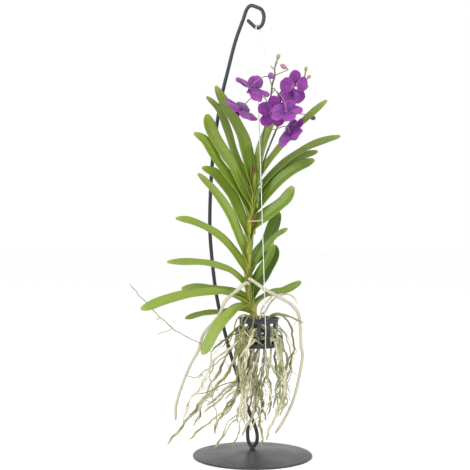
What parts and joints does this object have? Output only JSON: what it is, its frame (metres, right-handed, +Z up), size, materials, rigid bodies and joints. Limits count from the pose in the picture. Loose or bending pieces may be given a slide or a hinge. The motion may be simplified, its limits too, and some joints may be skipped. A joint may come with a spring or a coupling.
{
  "type": "vanda orchid on stand",
  "caption": "Bare-rooted vanda orchid in bloom in a small slatted basket, hung by wire from a bent-rod stand with a domed round base.",
  "frame": {"origin": "centre of the felt disc's underside, on the floor under the middle of the domed base", "axes": "+Z up; +X to the viewer's right in the pictured view; +Y away from the viewer, in at the plant's back"},
  "size_m": [0.4002, 0.225, 0.8555],
  "materials": {
    "black_steel": "satin",
    "black_felt": "matte",
    "zinc": "satin",
    "straw_tie": "matte",
    "black_plastic": "satin",
    "leaf_green": "satin",
    "petal_purple": "satin",
    "stalk_olive": "satin",
    "bud_purple": "satin",
    "root_silver": "matte",
    "root_cream": "matte"
  },
  "bodies": {
    "root": {"stand_base": "black_steel", "base_felt": "black_felt", "stand_rod": "black_steel", "base_screw": "zinc", "hanger_wire": "zinc", "wire_twist": "zinc", "stem_tie": "straw_tie", "basket": "black_plastic", "leafy_stem": "leaf_green", "flower_spike_1": "stalk_olive", "flower_spike_2": "stalk_olive", "bud_violet": "bud_purple", "bud_rose": "bud_purple", "bud_pale": "bud_purple", "bud_dark": "bud_purple", "bloom_top_left": "petal_purple", "bloom_low_left": "petal_purple", "bloom_middle": "petal_purple", "bloom_behind": "petal_purple", "bloom_side": "petal_purple", "bloom_top_right": "petal_purple", "bloom_low_right": "petal_purple", "root_bunch": "root_silver", "aerial_root_left": "root_cream", "aerial_root_right": "root_cream"}
  },
  "joints": []
}
